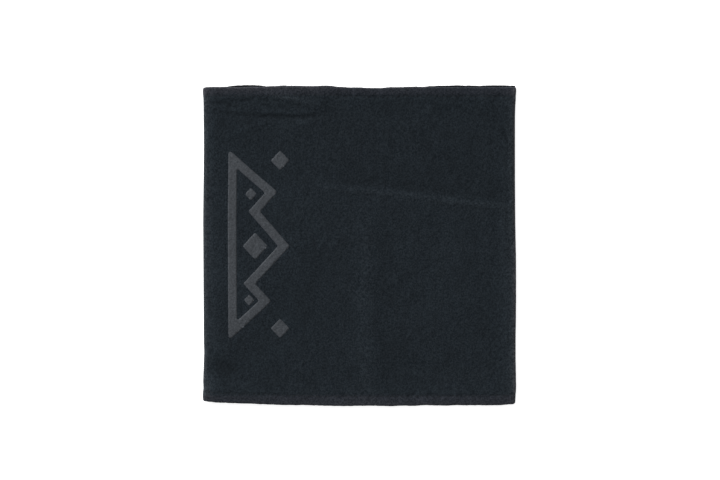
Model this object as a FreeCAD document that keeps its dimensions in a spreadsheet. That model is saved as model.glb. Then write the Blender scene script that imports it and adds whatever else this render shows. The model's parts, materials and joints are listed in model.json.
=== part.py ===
import FreeCAD, Part
import math
import os

import Sketcher
from FreeCAD import Placement, Rotation, Vector

# Fleece neck gaiter, lying flat: a tube of one cloth with a plain fold along its left edge (-X), a sewn side seam along
# its right edge (+X), and a turned hem round the mouth (+Y) and round the foot (-Y).
# Frame: +X across the flat width, +Y towards the mouth, +Z up out of the front wall. The back wall rests on z = 0.
# Four bending lines parallel to Y part each wall into five panels, and the walls are apart at the side seam, so that
# the flat tube can round out.

doc = FreeCAD.newDocument("NeckGaiter")

# ---- Driving dimensions ----

CELLS = [
    # alias, millimetres or degrees, meaning
    ("flat_width", 260.0, "width lying flat, fold to seam"),
    ("tube_height", 265.0, "height, foot to mouth"),
    ("ply", 2.0, "fleece thickness of a wall"),
    ("turn_ply", 1.6, "thickness of the pressed hem turn-in"),
    ("wall_gap", 0.2, "space between the front and back walls at the hems"),
    ("hem_width", 9.0, "depth of the hem turn-in"),
    ("bend_gap", 0.2, "slit between two panels at a bending line"),
    ("inner_bend", 32.0, "distance of the inner bending lines from the middle of a wall"),
    ("outer_bend", 84.0, "distance of the outer bending lines from the middle of a wall"),
    ("lip_angle", 15.5, "arc of the folded edge that belongs to each wall"),
    ("fold_arc", 148.0, "arc of the folded edge between the two walls"),
    ("stitch_inset", 7.9, "hem stitch line, from the edge of the hem"),
    ("stitch_pitch", 4.0, "one stitch to the next"),
    ("stitch_length", 2.8, "visible length of a stitch"),
    ("stitch_margin", 1.2, "panel width left out when the stitches are counted"),
    ("thread_radius", 0.2, "sewing thread"),
    ("channel_width", 0.8, "dent the stitches pull into the fleece"),
    ("channel_depth", 0.5, "depth of that dent"),
    ("emblem_long", 160.8, "emblem along Y"),
    ("emblem_wide", 51.7, "emblem along X"),
    ("emblem_from_fold", 20.8, "emblem, from the folded edge"),
    ("emblem_stroke", 7.4, "width of the emblem's strokes"),
    ("print_thick", 0.1, "thickness of the print"),
    ("seam_depth", 8.6, "width of the turned-in seam allowance"),
    ("seam_half", 1.2, "bottom of the seam allowance below the mid plane"),
    ("seam_top", 0.9, "top of the seam allowance above the mid plane"),
    ("seam_clearance", 0.6, "seam allowance, short of the inside of the seam's roll"),
    ("seam_end_gap", 1.0, "seam allowance, short of the hem turn-ins"),
    ("loop_pitch", 3.2, "one overlock loop to the next"),
    ("loop_thread", 0.25, "overlock thread"),
    ("loop_reach", 5.5, "how far an overlock loop reaches over the allowance"),
    ("loop_margin", 4.0, "seam length left out when the loops are counted"),
    ("label_width", 30.0, "care label along the seam"),
    ("label_length", 22.0, "care label, reach inwards from the roll's centre"),
    ("label_thick", 0.2, "care label, two plies of satin"),
    ("label_setback", 0.2, "care label, short of the roll's centre"),
    ("label_clearance", 0.12, "care label, above the overlock loops"),
    ("label_centre", 85.0, "care label, below the middle of the tube"),
]
# How far the stitch dents run past the centre of an edge's curve, in outer fold radii.
DENT_ON_LIP = 0.2
DENT_ON_ROLL = 0.72

sheet = doc.addObject("Spreadsheet::Sheet", "Dims")
NUMBERS = {}
for row, (alias, number, meaning) in enumerate(CELLS, start=1):
    sheet.set(f"A{row}", alias)
    sheet.set(f"B{row}", str(number))
    sheet.set(f"C{row}", meaning)
    sheet.setAlias(f"B{row}", alias)
    NUMBERS[alias] = number
doc.recompute()


class Size:
    """A length that carries its number and the spreadsheet expression that gives it."""

    def __init__(self, number, text):
        self.number, self.text = number, text

    def __add__(self, other):
        return Size(self.number + other.number, f"({self.text} + {other.text})")

    def __sub__(self, other):
        return Size(self.number - other.number, f"({self.text} - {other.text})")

    def __mul__(self, factor):
        return Size(self.number * factor, f"({self.text} * {factor})")

    def __truediv__(self, factor):
        return Size(self.number / factor, f"({self.text} / {factor})")

    def __neg__(self):
        return Size(-self.number, f"(-1 * {self.text})")


def dim(alias):
    return Size(NUMBERS[alias], f"Dims.{alias}")


# The two walls mirror each other about the mid plane. Measured from it, the fleece lies between fold_in and fold_out,
# and the hem turn-in between half the wall gap and fold_in. These are also the radii of the fold and the seam's roll.
ZERO = Size(0.0, "0.0")
half_gap = dim("wall_gap") / 2
fold_out = dim("ply") + dim("turn_ply") + half_gap
fold_in = dim("turn_ply") + half_gap
half_height = dim("tube_height") / 2
fold_x = -(dim("flat_width") / 2) + fold_out
seam_x = dim("flat_width") / 2 - fold_out
stitch_y = half_height - dim("stitch_inset")
slit = dim("bend_gap") / 2
# The middle of a wall is half way between the centre of the fold and the edge of the seam.
mid_x = fold_out / 2
outer_left_bend = mid_x - dim("outer_bend")

# ---- Sketching ----

# A sketch's own axes as geometry numbers, its root point being the start of the first, and the point numbers.
X_AXIS, Y_AXIS = -1, -2
START, END, CENTRE = 1, 2, 3
ROOT = (X_AXIS, START)


def drive(item, name, size):
    """Sets a property to a size's number and binds it to the size's expression."""
    setattr(item, name, size.number)
    item.setExpression(name, size.text)


def datum(body, role):
    """A plane or an axis of the body's own origin."""
    return next(o for o in body.Origin.OriginFeatures if o.Role == role)


def new_body(label, x, y, z, turned=False):
    """A body whose frame sits at x, y, z. A turned body is upside down: its outer face looks down."""
    body = doc.addObject("PartDesign::Body", label)
    body.Label = label
    body.AllowCompound = True
    turn = Rotation(Vector(1, 0, 0), 180) if turned else Rotation()
    body.Placement = Placement(Vector(x.number, y.number, z.number), turn)
    for axis, size in zip("xyz", (x, y, z)):
        body.setExpression(f"Placement.Base.{axis}", size.text)
    return body


def new_sketch(body, name, role, lift=None):
    """A sketch on a plane of the body's own origin, lifted along its normal (-Y for the XZ plane)."""
    sketch = body.newObject("Sketcher::SketchObject", name)
    sketch.AttachmentSupport = (datum(body, role), [""])
    sketch.MapMode = "FlatFace"
    if lift is not None:
        sketch.AttachmentOffset = Placement(Vector(0, 0, lift.number), Rotation())
        sketch.setExpression("AttachmentOffset.Base.z", lift.text)
    return sketch


def hold(sketch, kind, *where):
    return sketch.addConstraint(Sketcher.Constraint(kind, *where))


def bind(sketch, size, kind, *where):
    index = hold(sketch, kind, *where, size.number)
    name = f"size{index}"
    sketch.renameConstraint(index, name)
    sketch.setExpression(f".Constraints.{name}", size.text)


def at_x(sketch, item, point, size):
    bind(sketch, size, "DistanceX", *ROOT, item, point)


def at_y(sketch, item, point, size):
    bind(sketch, size, "DistanceY", *ROOT, item, point)


def line(sketch, start, end):
    return sketch.addGeometry(Part.LineSegment(Vector(*start, 0), Vector(*end, 0)))


def arc(sketch, centre_x, radius, first, last):
    """An arc about a point on the sketch's X axis, between two angles in radians."""
    circle = Part.Circle(Vector(centre_x, 0, 0), Vector(0, 0, 1), radius.number)
    item = sketch.addGeometry(Part.ArcOfCircle(circle, first, last))
    bind(sketch, radius, "Radius", item)
    return item


def join(sketch, *joints):
    """Each joint is an item, its point, another item and its point."""
    for joint in joints:
        hold(sketch, "Coincident", *joint)


def polygon(sketch, points):
    """A closed outline whose corners are only joined. Side i starts at point i."""
    following = points[1:] + points[:1]
    sides = [line(sketch, start, end) for start, end in zip(points, following)]
    for side, after in zip(sides, sides[1:] + sides[:1]):
        join(sketch, (side, END, after, START))
    return sides


def rectangle(sketch, x0, x1, y0, y1):
    corners = [(x0, y0), (x1, y0), (x1, y1), (x0, y1)]
    lower, right, upper, left = polygon(sketch, [(x.number, y.number) for x, y in corners])
    for side, kind in (
        (lower, "Horizontal"), (right, "Vertical"), (upper, "Horizontal"), (left, "Vertical"),
    ):
        hold(sketch, kind, side)
    at_x(sketch, lower, START, x0)
    at_x(sketch, right, END, x1)
    at_y(sketch, lower, START, y0)
    at_y(sketch, upper, END, y1)


def lip_profile(sketch, right, low, high):
    """A wall's cross-section whose left end follows the fold for the lip angle."""
    angle = math.radians(NUMBERS["lip_angle"])
    first, last = math.pi / 2, math.pi / 2 + angle

    def lip_end(radius):
        return (-radius.number * math.sin(angle), radius.number * math.cos(angle))

    top = line(sketch, (0, high.number), (right.number, high.number))
    side = line(sketch, (right.number, high.number), (right.number, low.number))
    under = line(sketch, (right.number, low.number), (0, low.number))
    inner = arc(sketch, 0, low, first, last)
    outer = arc(sketch, 0, high, first, last)
    end = line(sketch, lip_end(low), lip_end(high))
    join(
        sketch,
        (top, END, side, START),
        (side, END, under, START),
        (under, END, inner, START),
        (inner, END, end, START),
        (end, END, outer, END),
        (outer, START, top, START),
        (inner, CENTRE, *ROOT),
        (outer, CENTRE, *ROOT),
    )
    hold(sketch, "Horizontal", top)
    hold(sketch, "Vertical", side)
    hold(sketch, "Horizontal", under)
    hold(sketch, "PointOnObject", top, START, Y_AXIS)
    hold(sketch, "PointOnObject", under, END, Y_AXIS)
    at_x(sketch, side, START, right)
    for item, radius in ((inner, low), (outer, high)):
        reach = Size(
            radius.number * math.sin(angle), f"({radius.text} * sin(Dims.lip_angle * 1 deg))"
        )
        bind(sketch, reach, "DistanceX", item, END, *ROOT)


def roll_profile(sketch, left, centre_x, low, high):
    """A cross-section whose right end turns a quarter round, down to half the wall gap.

    When low is half the wall gap itself, the section is solid down to it and has no inner arc.
    """
    hollow = low.number > half_gap.number
    floor = half_gap.number

    def foot_x(radius):
        return centre_x.number + math.sqrt(radius.number**2 - floor**2)

    def quarter(radius):
        first = math.asin(floor / radius.number)
        return arc(sketch, centre_x.number, radius, first, math.pi / 2)

    outer = quarter(high)
    top = line(sketch, (centre_x.number, high.number), (left.number, high.number))
    side = line(sketch, (left.number, high.number), (left.number, low.number))
    join(sketch, (outer, END, top, START), (top, END, side, START))
    at_x(sketch, outer, CENTRE, centre_x)
    hold(sketch, "PointOnObject", outer, CENTRE, X_AXIS)
    hold(sketch, "Horizontal", top)
    hold(sketch, "Vertical", side)
    at_x(sketch, side, START, left)
    at_x(sketch, top, START, centre_x)
    bottom_start = foot_x(low) if hollow else left.number
    bottom = line(sketch, (bottom_start, floor), (foot_x(high), floor))
    join(sketch, (bottom, END, outer, START))
    hold(sketch, "Horizontal", bottom)
    at_y(sketch, bottom, END, half_gap)
    if not hollow:
        join(sketch, (side, END, bottom, START))
        return
    under = line(sketch, (left.number, low.number), (centre_x.number, low.number))
    inner = quarter(low)
    join(
        sketch,
        (side, END, under, START),
        (under, END, inner, END),
        (inner, START, bottom, START),
        (inner, CENTRE, outer, CENTRE),
    )
    hold(sketch, "Horizontal", under)
    at_x(sketch, under, END, centre_x)


# ---- Features ----


def pad(body, name, sketch, length, midplane=False, reverse=False):
    feature = body.newObject("PartDesign::Pad", name)
    feature.Profile = sketch
    drive(feature, "Length", length)
    feature.Midplane = midplane
    feature.Reversed = reverse
    doc.recompute()
    return feature


def pocket(body, name, sketch, length):
    """Cuts the sketch into the body, and makes sure that something was cut."""
    before = body.Shape.Volume
    feature = body.newObject("PartDesign::Pocket", name)
    feature.Profile = sketch
    drive(feature, "Length", length)
    doc.recompute()
    assert body.Shape.Volume < before - 0.1, f"{name} cut nothing"


def revolve(body, name, sketch):
    """Turns the sketch about the body's Y axis through the fold's arc, half of it each way."""
    feature = body.newObject("PartDesign::Revolution", name)
    feature.Profile = sketch
    feature.ReferenceAxis = (datum(body, "Y_Axis"), [""])
    drive(feature, "Angle", dim("fold_arc"))
    feature.Midplane = True
    doc.recompute()


def mirror(body, name, feature, role):
    copy = body.newObject("PartDesign::Mirrored", name)
    copy.Originals = [feature]
    copy.MirrorPlane = (datum(body, role), [""])
    body.Tip = copy
    doc.recompute()


def repeat(body, name, feature, role, pitch, count):
    row = body.newObject("PartDesign::LinearPattern", name)
    row.Originals = [feature]
    row.Direction = (datum(body, role), [""])
    drive(row, "Length", pitch * (count - 1))
    row.Occurrences = count
    body.Tip = row
    doc.recompute()
    return row


# ---- Walls ----


def wall_panel(label, x, width, shape, turned):
    """One panel of a wall: the fleece, its two hem turn-ins, and the dents of the hem stitches.

    Its frame sits on the mid plane at its left bending line, or at the fold's centre for a lip panel. Its width reaches
    the right bending line, or the centre of the seam's roll for a roll panel.
    """
    body = new_body(label, x, ZERO, fold_out, turned)
    left, right = slit, width - slit

    section = new_sketch(body, label + "_section", "XZ_Plane")
    if shape == "lip":
        lip_profile(section, right, fold_in, fold_out)
    elif shape == "roll":
        roll_profile(section, left, width, fold_in, fold_out)
    else:
        rectangle(section, left, right, fold_in, fold_out)
    pad(body, label + "_fleece", section, dim("tube_height"), midplane=True)

    hem_lift = -(half_height - dim("hem_width"))
    turn = new_sketch(body, label + "_turn_section", "XZ_Plane", hem_lift)
    if shape == "roll":
        roll_profile(turn, left, width, half_gap, fold_in)
    else:
        rectangle(turn, left, right, half_gap, fold_in)
    hem = pad(body, label + "_mouth_hem", turn, dim("hem_width"), reverse=True)
    mirror(body, label + "_foot_hem", hem, "XZ_Plane")

    dents = new_sketch(body, label + "_stitch_lines", "XY_Plane", fold_out)
    start = -fold_out * DENT_ON_LIP if shape == "lip" else ZERO
    end = width + fold_out * DENT_ON_ROLL if shape == "roll" else width
    half_dent = dim("channel_width") / 2
    for line_y in (stitch_y, -stitch_y):
        rectangle(dents, start, end, line_y - half_dent, line_y + half_dent)
    pocket(body, label + "_stitch_dents", dents, dim("channel_depth"))


def hem_stitches(label, x, width, turned):
    """The stitches of both hems on one panel: short lengths of thread on the floor of the dents."""
    pitch, length = dim("stitch_pitch"), dim("stitch_length")
    count = int((width - dim("stitch_margin")).number // pitch.number)
    first_x = (width - pitch * (count - 1) - length) / 2
    body = new_body(label, x, ZERO, fold_out, turned)
    sketch = new_sketch(body, label + "_thread", "YZ_Plane", first_x)
    radius = dim("thread_radius")
    height = fold_out - dim("channel_depth") + radius
    for line_y in (stitch_y, -stitch_y):
        centre = Vector(line_y.number, height.number, 0)
        item = sketch.addGeometry(Part.Circle(centre, Vector(0, 0, 1), radius.number))
        bind(sketch, radius, "Radius", item)
        at_x(sketch, item, CENTRE, line_y)
        at_y(sketch, item, CENTRE, height)
    stitch = pad(body, label + "_stitch", sketch, length)
    repeat(body, label + "_row", stitch, "X_Axis", pitch, count)


def walls():
    between_bends = dim("outer_bend") - dim("inner_bend")
    seam_width = seam_x - mid_x - dim("outer_bend")
    panels = [
        # place, left end, width, shape
        ("outer_left", fold_x, outer_left_bend - fold_x, "lip"),
        ("inner_left", outer_left_bend, between_bends, "flat"),
        ("centre", mid_x - dim("inner_bend"), dim("inner_bend") * 2, "flat"),
        ("inner_right", mid_x + dim("inner_bend"), between_bends, "flat"),
        ("outer_right", mid_x + dim("outer_bend"), seam_width, "roll"),
    ]
    for wall, turned in (("back", True), ("front", False)):
        for place, x, width, shape in panels:
            wall_panel(f"{wall}_{place}", x, width, shape, turned)
            hem_stitches(f"hem_stitches_{wall}_{place}", x, width, turned)


def left_fold():
    """The folded left edge: fleece and hem turn-ins, turned about the fold's centre line."""
    body = new_body("left_fold", fold_x, ZERO, fold_out)
    fleece = new_sketch(body, "fold_section", "XY_Plane")
    rectangle(fleece, -fold_out, -fold_in, -half_height, half_height)
    revolve(body, "fold_fleece", fleece)
    hems = new_sketch(body, "fold_turn_section", "XY_Plane")
    hem_start = half_height - dim("hem_width")
    rectangle(hems, -fold_in, -half_gap, hem_start, half_height)
    rectangle(hems, -fold_in, -half_gap, -half_height, -hem_start)
    revolve(body, "fold_hems", hems)


# ---- Side seam ----

# Across the seam, measured from the centre of its roll.
allowance_right = fold_in - dim("seam_clearance")
allowance_left = allowance_right - dim("seam_depth")
allowance_top, allowance_bottom = dim("seam_top"), -dim("seam_half")
seam_length = dim("tube_height") - dim("hem_width") * 2 - dim("seam_end_gap") * 2


def seam_allowance():
    """The two cut edges of the cloth, sewn together and turned inside, between the hems."""
    body = new_body("seam_allowance", seam_x, ZERO, fold_out)
    section = new_sketch(body, "allowance_section", "XZ_Plane")
    rectangle(section, allowance_left, allowance_right, allowance_bottom, allowance_top)
    pad(body, "allowance_plies", section, seam_length, midplane=True)


def seam_overlock():
    """Loops of thread that wrap the free edge of the seam allowance, in a row along the seam."""
    pitch, thread = dim("loop_pitch"), dim("loop_thread")
    count = int((seam_length - dim("loop_margin")).number // pitch.number)
    body = new_body("seam_overlock", seam_x, ZERO, fold_out)
    sketch = new_sketch(body, "loop_section", "XZ_Plane", pitch * (count - 1) / 2)
    inside, reach = allowance_left, allowance_left + dim("loop_reach")
    top, bottom = allowance_top, allowance_bottom
    corners = [
        (inside - thread, bottom - thread), (reach, bottom - thread),
        (reach, bottom), (inside, bottom),
        (inside, top), (reach, top),
        (reach, top + thread), (inside - thread, top + thread),
    ]
    sides = polygon(sketch, [(x.number, y.number) for x, y in corners])
    for side, (x, y) in zip(sides, corners):
        at_x(sketch, side, START, x)
        at_y(sketch, side, START, y)
    loop = pad(body, "loop", sketch, thread)
    row = repeat(body, "loop_row", loop, "Y_Axis", pitch, count)
    # The row starts at one end of the seam: if it runs off that end, it is turned to run along the seam.
    if abs(body.Shape.BoundBox.Center.y) > 1.0:
        row.Reversed = True
        doc.recompute()


def care_label():
    """A blank folded satin tab by the side seam, between the walls, above the seam allowance."""
    body = new_body("care_label", seam_x, -dim("label_centre"), fold_out)
    lift = allowance_top + dim("loop_thread") + dim("label_clearance")
    outline = new_sketch(body, "label_outline", "XY_Plane", lift)
    half_width = dim("label_width") / 2
    rectangle(outline, -dim("label_length"), -dim("label_setback"), -half_width, half_width)
    pad(body, "label_plies", outline, dim("label_thick"))


# ---- Emblem ----

# Tonal emblem printed on the front, reading down the tube: an outlined ridge of three peaks with five diamonds, peaks
# towards +X. Along runs from the mouth end to the foot end, up runs towards +X, both as shares of the emblem's size.
RIDGE = [
    # along, up; anticlockwise
    (1.0, 0.0), (0.79, 0.70), (0.70, 0.44), (0.505, 1.0), (0.325, 0.52), (0.225, 0.80), (0.0, 0.0),
]
DIAMONDS = [
    # along, up, half length along Y, half width along X
    (0.062, 0.84, 8.2, 8.0),
    (0.93, 0.84, 8.2, 8.0),
    (0.235, 0.37, 5.5, 5.0),
    (0.505, 0.44, 11.5, 10.5),
    (0.785, 0.34, 5.0, 4.4),
]


def emblem_point(along, up):
    """From shares along and up the emblem to x and y about its centre."""
    length, width = NUMBERS["emblem_long"], NUMBERS["emblem_wide"]
    return (up * width - width / 2, length / 2 - along * length)


def diamond(along, up, half_long, half_wide):
    x, y = emblem_point(along, up)
    return [(x - half_wide, y), (x, y - half_long), (x + half_wide, y), (x, y + half_long)]


def inset(points, distance):
    """A closed anticlockwise outline moved inwards by a distance, corners mitred."""
    moved = []
    for i, here in enumerate(points):
        before, after = points[i - 1], points[(i + 1) % len(points)]
        heading_in = math.atan2(here[1] - before[1], here[0] - before[0])
        heading_out = math.atan2(after[1] - here[1], after[0] - here[0])
        turn = (heading_out - heading_in + math.pi) % (2 * math.pi) - math.pi
        mitre = distance / math.cos(turn / 2)
        inwards = heading_in + turn / 2 + math.pi / 2
        moved.append((here[0] + mitre * math.cos(inwards), here[1] + mitre * math.sin(inwards)))
    return moved


def emblem():
    """The print in two pieces, parted where the front's outer left bending line crosses it."""
    long, wide, thick = dim("emblem_long"), dim("emblem_wide"), dim("print_thick")
    centre_x = -(dim("flat_width") / 2) + dim("emblem_from_fold") + wide / 2
    cut_x = outer_left_bend - centre_x
    ridge = [emblem_point(*point) for point in RIDGE]
    outlines = [ridge, inset(ridge, NUMBERS["emblem_stroke"])]
    outlines += [diamond(*entry) for entry in DIAMONDS]
    pieces = [
        # label, left and right of what is cut away
        ("emblem_outer", cut_x - slit, wide),
        ("emblem_inner", -wide, cut_x + slit),
    ]
    for label, cut_left, cut_right in pieces:
        body = new_body(label, centre_x, ZERO, fold_out * 2)
        drawn = new_sketch(body, label + "_outline", "XY_Plane")
        for outline in outlines:
            polygon(drawn, outline)
        pad(body, label + "_print", drawn, thick)
        away = new_sketch(body, label + "_cut", "XY_Plane", thick)
        rectangle(away, cut_left, cut_right, -long, long)
        pocket(body, label + "_trim", away, thick * 2)


walls()
left_fold()
seam_allowance()
seam_overlock()
care_label()
emblem()

# ---- Export ----

doc.recompute()
for item in doc.Objects:
    assert not {"Invalid", "Error"} & set(item.State), f"{item.Label}: {item.State}"

os.makedirs("parts", exist_ok=True)
for body in doc.Objects:
    if body.TypeId == "PartDesign::Body":
        assert body.Shape.isValid() and body.Shape.Volume > 0, f"{body.Label} has no valid shape"
        body.Shape.exportStep(os.path.join("parts", body.Label + ".step"))
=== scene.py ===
"""A fleece tube with hemmed ends, lying flat.

The front wall faces +Z and the back wall lies under it on the floor. The folded edge is at -X and
the side seam at +X; the foot is at -Y and the mouth at +Y. Sizes are in millimetres in the
product's frame, and are written to the meshes in metres.
"""
import json
import math

import bpy
import numpy as np
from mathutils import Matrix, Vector, geometry


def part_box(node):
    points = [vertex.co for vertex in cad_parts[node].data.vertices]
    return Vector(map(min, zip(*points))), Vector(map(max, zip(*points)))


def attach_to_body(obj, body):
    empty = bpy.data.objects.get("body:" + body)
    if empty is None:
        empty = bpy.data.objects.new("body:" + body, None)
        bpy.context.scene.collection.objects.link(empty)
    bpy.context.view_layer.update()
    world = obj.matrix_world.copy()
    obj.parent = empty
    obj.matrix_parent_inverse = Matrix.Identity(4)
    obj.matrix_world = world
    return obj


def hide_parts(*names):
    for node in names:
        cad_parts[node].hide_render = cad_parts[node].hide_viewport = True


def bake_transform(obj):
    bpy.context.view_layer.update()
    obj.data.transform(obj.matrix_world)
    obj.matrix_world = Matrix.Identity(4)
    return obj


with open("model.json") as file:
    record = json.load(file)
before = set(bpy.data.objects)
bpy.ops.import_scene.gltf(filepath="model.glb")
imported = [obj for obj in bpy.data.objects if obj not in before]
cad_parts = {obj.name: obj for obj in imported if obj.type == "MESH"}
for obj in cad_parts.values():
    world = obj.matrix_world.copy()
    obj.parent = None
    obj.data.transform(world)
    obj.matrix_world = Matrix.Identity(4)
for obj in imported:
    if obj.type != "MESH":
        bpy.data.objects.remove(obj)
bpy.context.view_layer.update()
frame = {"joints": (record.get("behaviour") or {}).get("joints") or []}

MM = 0.001


def box_mm(name):
    """The low and high corners of a CAD piece."""
    low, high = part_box(name)
    return low / MM, high / MM


# ---------------------------------------------------------------- sizes, read from the frame
joints = {joint["name"]: joint for joint in frame["joints"]}
front_low, front_high = box_mm("front_outer_right")
back_high = box_mm("back_outer_right")[1]
HALF_W = front_high.x                             # edge of the side seam
HALF_H = front_high.y                             # mouth; the foot is at -HALF_H
TOP = front_high.z                                # outer face of the front wall
MID = (front_low.z + back_high.z) / 2             # plane between the walls
ROLL = TOP - MID                                  # outer radius of the fold and of the seam's roll
FOLD_X = joints["left_fold_opening"]["pos_m"][0] / MM       # centre of the folded edge
SEAM_X = HALF_W - ROLL                            # centre of the seam's roll
SEAM_OPEN = math.radians(joints["left_fold_opening"]["range_deg"][1])  # opens as far as the fold
BENDS = [
    joints[f"front_bend_{place}"]["pos_m"][0] / MM
    for place in ("outer_left", "inner_left", "inner_right", "outer_right")
]

STITCH_D = 7.9                                    # hem stitch line, from the edge of the hem
STITCH_LENGTH = 2.75
STITCH_PITCH = 4.0
TURN_D = 9.0                                      # depth of the hem turn-in
PLY = 1.9
WALL_GAP = 0.1                                    # from the mid plane to a hem's inner face
SEAM_GROOVE = 0.55                                # depth of the seam line between its lips

# Each wall is built in parts: one over the fold, then one over each bending line.
PARTS = ["fold", "outer_left", "inner_left", "inner_right", "outer_right"]
SPLIT_X = [FOLD_X + 9.3] + [(left + right) / 2 for left, right in zip(BENDS, BENDS[1:])]
# the CAD panels that each part after the fold stands in for
PART_PANELS = [["outer_left", "inner_left"], ["centre"], ["inner_right"], ["outer_right"]]


# ---------------------------------------------------------------- numeric helpers
def smooth(t):
    t = np.clip(t, 0.0, 1.0)
    return t * t * (3 - 2 * t)


def bell(offset, width):
    return np.exp(-((offset / width) ** 2))


def decay(distance, reach):
    return np.exp(-distance / reach)


def noise(x, y, cell, seed):
    """Seeded smooth lattice noise, about -1.5 to 1.5, with lattice cells of the given size."""
    x, y = np.broadcast_arrays(np.asarray(x, float), np.asarray(y, float))
    grid_x, grid_y = x / cell, y / cell
    size = max(int(900.0 / cell), 40)
    grid = np.random.default_rng(seed).uniform(-1, 1, (size, size))
    ix, iy = np.floor(grid_x).astype(int), np.floor(grid_y).astype(int)
    fx, fy = grid_x - ix, grid_y - iy
    fx = fx * fx * fx * (fx * (fx * 6 - 15) + 10)
    fy = fy * fy * fy * (fy * (fy * 6 - 15) + 10)
    i0, i1, j0, j1 = ix % size, (ix + 1) % size, iy % size, (iy + 1) % size
    low = grid[i0, j0] * (1 - fx) + grid[i1, j0] * fx
    high = grid[i0, j1] * (1 - fx) + grid[i1, j1] * fx
    return (low * (1 - fy) + high * fy) * 1.5


def along(x, y, points):
    """Signed distance from a polyline, and how far along it (0 to 1) the nearest point lies."""
    best = np.full(np.shape(x), 1e9)
    side = np.zeros(np.shape(x))
    part = np.zeros(np.shape(x))
    lengths = [math.dist(start, end) for start, end in zip(points, points[1:])]
    total, run = sum(lengths), 0.0
    for i, length in enumerate(lengths):
        (ax, ay), (bx, by) = points[i], points[i + 1]
        ux, uy = (bx - ax) / length, (by - ay) / length
        reach = (x - ax) * ux + (y - ay) * uy
        held = np.clip(reach, 0, length)
        distance = np.hypot(x - ax - held * ux, y - ay - held * uy)
        near = distance < best
        best = np.where(near, distance, best)
        side = np.where(near, np.sign((x - ax) * -uy + (y - ay) * ux), side)
        part = np.where(near, (run + np.clip(reach, -12, length + 12)) / total, part)
        run += length
    return best * side, part


def crease(x, y, points, height, width, ends):
    """A soft ridge (below zero, a groove) along a polyline, fading out towards both ends."""
    distance, part = along(x, y, points)
    fade = smooth((part + 0.05) / ends) * smooth((1.05 - part) / ends)
    return height * fade * bell(distance, width)


def table(value, pairs):
    return np.interp(value, [p[0] for p in pairs], [p[1] for p in pairs])


# ---------------------------------------------------------------- outline of the cloth as it lies
# left edge: y, shift towards +X
LEFT = [
    (-132.5, 0.1), (-127, -0.1), (-122.3, 0.5), (-116.5, 0.2), (-92, 1.1), (-79, 0.8), (21, 0.2),
    (83, 0.9), (118, 0.5), (123.4, 0.4), (128.4, -0.1), (132.5, 0.2),
]
# Right edge: y, how far the cloth stands out. The edge is the side seam: it stands out at the
# shoulders of the walls and is drawn in at the seam line, so that both walls meet along
# x = HALF_W, flat at rest and when the tube is open.
RIGHT = [
    (-132.5, 0.3), (-128.9, 0.35), (-126, 0.45), (-122.3, 0.68), (-116.4, 0.75), (-103.9, 0.68),
    (-91.4, 0.52), (-79, 0.55), (-45.6, 0.74), (-12.3, 0.72), (4, 0.5), (21, 0.28), (54.3, 0.06),
    (83.4, 0.04), (108.4, 0.06), (116, 0.3), (123.4, 0.62), (128.4, 0.75), (132.5, 0.7),
]
# how far the right edge stands out, how far the cloth is pushed for that
PUSH = [
    (0.0, 0.0), (0.15, 0.2), (0.255, 0.4), (0.342, 0.6), (0.43, 0.85), (0.487, 1.05), (0.6, 1.5),
    (0.7, 2.0), (0.77, 2.4),
]
# mouth and foot edges: x, shift towards +Y
MOUTH_FRONT = [
    (-130, -1.0), (-120, -0.6), (-110, -0.8), (-99, -1.0), (-86, -0.9), (-74, 0.1), (-58, 0.2),
    (-24, 0.15), (-12.6, -0.7), (-2.7, -1.4), (17.3, -1.45), (37.3, -0.9), (50, -0.6), (62, -0.95),
    (92.3, -1.05), (117, -1.0), (127, -0.8), (130, -1.0),
]
MOUTH_BACK = [
    (-130, -1.4), (-120, -0.7), (-110, -0.1), (-102.6, 1.0), (-92.6, 1.2), (-83, 0.9), (-74, -0.5),
    (-66, -0.9), (-24, -1.2), (-2.7, -2.2), (34, -2.0), (50, -0.8), (58, 0.2), (67.3, 0.65),
    (127, 0.7), (130, 0.1),
]
FOOT_FRONT = [
    (-130, 2.6), (-127, 2.2), (-124.2, 2.0), (-102.6, 0.95), (-72.6, 0.05), (-42.6, -0.8),
    (-12.6, -1.2), (27.3, -1.4), (57.3, -0.8), (97.3, -0.75), (117.3, -0.35), (128.1, 0.2),
    (130, 0.9),
]
FOOT_BACK = [(x, shift + 0.9) for x, shift in FOOT_FRONT]
# wall: mouth edge, foot edge, seed of the fine wobble
END_EDGES = {"front": (MOUTH_FRONT, FOOT_FRONT, 3), "back": (MOUTH_BACK, FOOT_BACK, 4)}


def place(x, y, wall, rise=None, share=1.0):
    """From the plain rectangle of the pattern to the cloth as it lies, with wandering edges.

    rise is the height above the mid plane: at the side seam the cloth stays on its own side of
    the plane on which the walls meet when the tube is open. share scales the push at the seam.
    """
    across = np.clip((x + HALF_W) / (2 * HALF_W), 0, 1)
    upward = np.clip((y + HALF_H) / (2 * HALF_H), 0, 1)
    push = share * table(table(y, RIGHT), PUSH)
    placed_x = x + ((1 - smooth(across * 2.2)) * table(y, LEFT)
                    + smooth((across - 0.55) * 2.2) * push)
    mouth, foot, seed = END_EDGES[wall]
    wobble = 0.18 * noise(x, y, 9.0, seed)
    shift_y = (smooth((upward - 0.5) * 2) * (table(x, mouth) + wobble)
               + (1 - smooth(upward * 2)) * (table(x, foot) + wobble))
    if rise is not None:
        limit = HALF_W + rise / math.tan(SEAM_OPEN / 2) - 0.004
        # a soft minimum of placed_x and the limit
        blur = 0.30 * smooth(rise / 1.5) + 1e-6
        part = np.clip(0.5 + 0.5 * (limit - placed_x) / blur, 0, 1)
        placed_x = limit * (1 - part) + placed_x * part - blur * part * (1 - part)
    return placed_x, y + shift_y


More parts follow.
